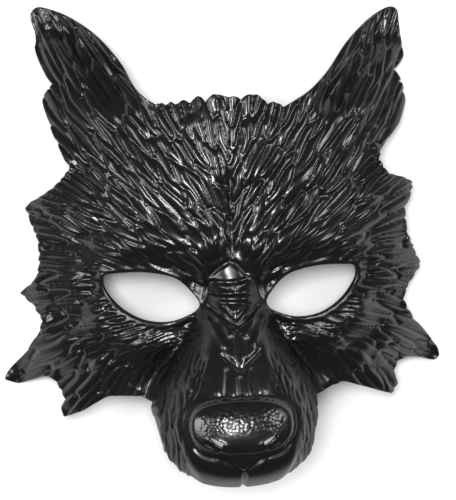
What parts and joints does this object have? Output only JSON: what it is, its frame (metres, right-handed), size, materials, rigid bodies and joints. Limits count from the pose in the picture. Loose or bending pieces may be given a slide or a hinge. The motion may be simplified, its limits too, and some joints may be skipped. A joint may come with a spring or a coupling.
{
  "type": "wolf half mask",
  "caption": "Glossy moulded plastic wolf half mask with pricked ears, a jagged fur edge, open eye holes and a hollow snout with slotted nostrils.",
  "frame": {"origin": "middle of the mask's outline, on the surface that the mask lies on", "axes": "+Z out of the face, +Y towards the ears, +X to the right of someone who looks at the face"},
  "size_m": [0.2104, 0.2152, 0.0973],
  "materials": {
    "black_plastic": "glossy moulded black plastic with sculpted fur"
  },
  "bodies": {
    "root": {"mask_shell": "black_plastic"}
  },
  "joints": []
}
